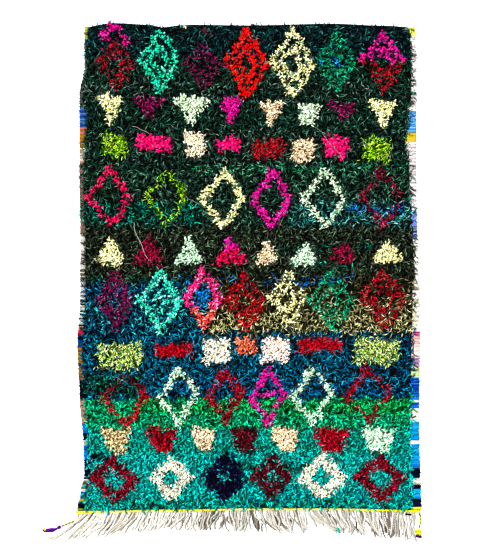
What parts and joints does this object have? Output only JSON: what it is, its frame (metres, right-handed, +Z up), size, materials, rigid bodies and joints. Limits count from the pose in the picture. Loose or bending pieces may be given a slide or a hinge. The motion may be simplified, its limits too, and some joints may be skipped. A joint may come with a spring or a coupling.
{
  "type": "boucherouite rug",
  "caption": "Rectangular hand-knotted rag pile rug lying flat, with flat-woven side edges, a twined end and a fringe of warp ends.",
  "frame": {"origin": "on the flat underside, at the middle of the woven rug", "axes": "+Z up from the underside to the pile, +Y along the rug away from the fringe, +X across the rug"},
  "size_m": [1.1448, 1.5656, 0.0262],
  "materials": {
    "wool_and_rag_pile": "matt shaggy cut pile",
    "yellow_twined_yarn": "matt twisted yarn",
    "undyed_warp_yarn": "matt plied yarn",
    "tail_yarn": "matt plied yarn",
    "purple_rag": "matt rolled rag"
  },
  "bodies": {
    "root": {"woven_rug": "wool_and_rag_pile", "end_twining": "yellow_twined_yarn", "warp_fringe": "undyed_warp_yarn", "left_tail": "tail_yarn", "left_tail_rag": "purple_rag", "right_tail": "tail_yarn", "right_tail_knot": "tail_yarn"}
  },
  "joints": []
}
